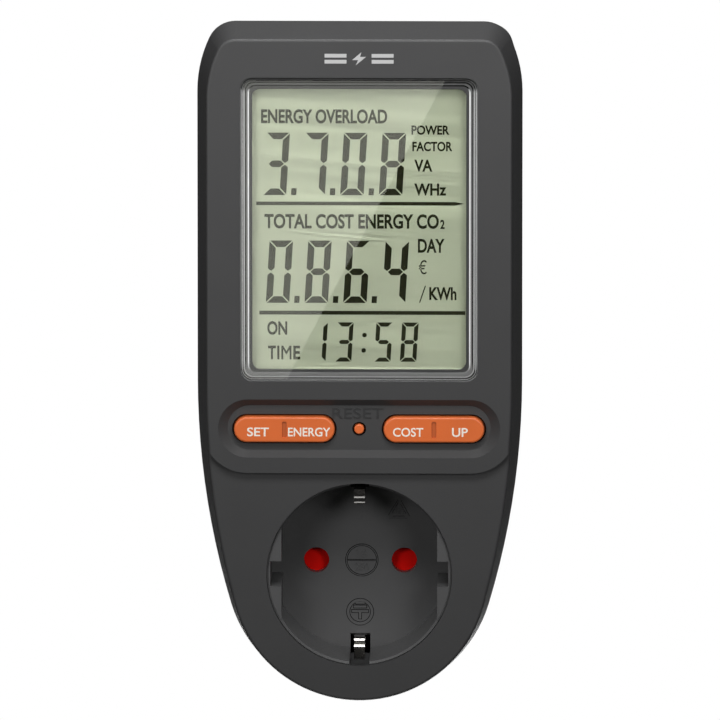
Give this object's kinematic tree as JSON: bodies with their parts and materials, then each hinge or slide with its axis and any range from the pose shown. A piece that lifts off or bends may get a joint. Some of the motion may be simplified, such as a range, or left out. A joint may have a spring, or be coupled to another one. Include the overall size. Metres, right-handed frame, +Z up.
{
  "type": "plug in power meter",
  "caption": "Plug-in energy meter: a drafted housing with a display, two rocker keys, a reset button, an earthed socket well in front and a two-pin plug with side earth contacts behind.",
  "frame": {"origin": "centre of the plug face that meets the wall socket, on the common axis of plug and socket", "axes": "+Y along the plug pins into the wall, +Z up towards the display, +X to the right seen from the front"},
  "size_m": [0.07, 0.0728, 0.1483],
  "materials": {
    "tinned_metal": "drawn metal can",
    "black_plastic": "black moulded plastic",
    "screw_steel": "zinc-plated steel",
    "board_laminate": "green solder mask on glass-epoxy laminate",
    "chip_epoxy": "black moulding epoxy",
    "resistor_coat": "grey-green cement coat",
    "nickel_plate": "satin nickel plating",
    "can_sleeve": "dark shrink sleeve",
    "film_case": "yellow capacitor case",
    "grey_abs": "fine-textured dark grey ABS",
    "display_glass": "clear glass with polariser",
    "display_reflector": "grey-green reflector film",
    "clear_acrylic": "clear polished acrylic",
    "silicone": "translucent silicone rubber",
    "orange_plastic": "semi-gloss orange ABS",
    "brass": "stamped brass sheet",
    "wire_brown": "brown PVC insulation",
    "wire_blue": "blue PVC insulation",
    "copper_alloy": "manganin strip",
    "red_plastic": "red moulded plastic",
    "spring_steel": "drawn spring wire",
    "well_polycarbonate": "satin dark grey polycarbonate",
    "varistor_coat": "blue dipped epoxy",
    "elastomer": "striped conductive elastomer"
  },
  "bodies": {
    "housing": {"backup_battery": "tinned_metal", "board_header": "black_plastic", "carrier_screws": "screw_steel", "case_screws": "screw_steel", "clock_crystal": "tinned_metal", "contact_carrier": "black_plastic", "cup_screws": "screw_steel", "display_board": "board_laminate", "display_board_screws": "screw_steel", "display_chip": "chip_epoxy", "dropper_resistor": "resistor_coat", "earth_bracket": "nickel_plate", "earth_sleeve": "nickel_plate", "electrolytic_capacitors": "can_sleeve", "film_capacitor": "film_case", "front_cover": "grey_abs", "lcd_front_glass": "display_glass", "lcd_holder": "black_plastic", "lcd_rear_glass": "display_glass", "lcd_reflector": "display_reflector", "lcd_window": "clear_acrylic", "left_key_pads": "silicone", "live_contact": "brass", "live_pin": "nickel_plate", "live_wire": "wire_brown", "load_wire": "wire_brown", "metering_chip": "chip_epoxy", "neutral_contact": "brass", "neutral_pin": "nickel_plate", "neutral_wire": "wire_blue", "pin_clamp": "black_plastic", "pin_clamp_screw": "screw_steel", "plug_earth_clips": "nickel_plate", "power_board": "board_laminate", "power_board_screws": "screw_steel", "rear_cover": "grey_abs", "rectifier_diodes": "chip_epoxy", "reset_pad": "silicone", "right_key_pads": "silicone", "shunt_strap": "copper_alloy", "shutter_spring": "spring_steel", "socket_cup": "well_polycarbonate", "varistor": "varistor_coat", "zebra_strips": "elastomer"},
    "left_key": {"left_rocker": "orange_plastic"},
    "right_key": {"right_rocker": "orange_plastic"},
    "reset_key": {"reset_button": "orange_plastic"},
    "shutter_disc": {"shutter": "red_plastic"}
  },
  "joints": [
    {"name": "left_key_tilt", "type": "hinge", "parent": "housing", "child": "left_key", "pos_m": [-0.0161, -0.0487, 0.032], "axis": [0, 0, 1], "range_deg": [-2.5, 2.5], "stiffness_Nm_per_rad": 0.26, "deforming": ["left_key_pads"]},
    {"name": "right_key_tilt", "type": "hinge", "parent": "housing", "child": "right_key", "pos_m": [0.0161, -0.0487, 0.032], "axis": [0, 0, 1], "range_deg": [-2.5, 2.5], "stiffness_Nm_per_rad": 0.26, "deforming": ["right_key_pads"]},
    {"name": "reset_press", "type": "slide", "parent": "housing", "child": "reset_key", "axis": [0, 1, 0], "range_m": [0, 0.0006], "stiffness_N_per_m": 1200, "deforming": ["reset_pad"]},
    {"name": "shutter_turn", "type": "hinge", "parent": "housing", "child": "shutter_disc", "pos_m": [0, -0.0306, 0], "axis": [0, -1, 0], "range_deg": [0, 35], "stiffness_Nm_per_rad": 0.004, "deforming": ["shutter_spring"]}
  ]
}
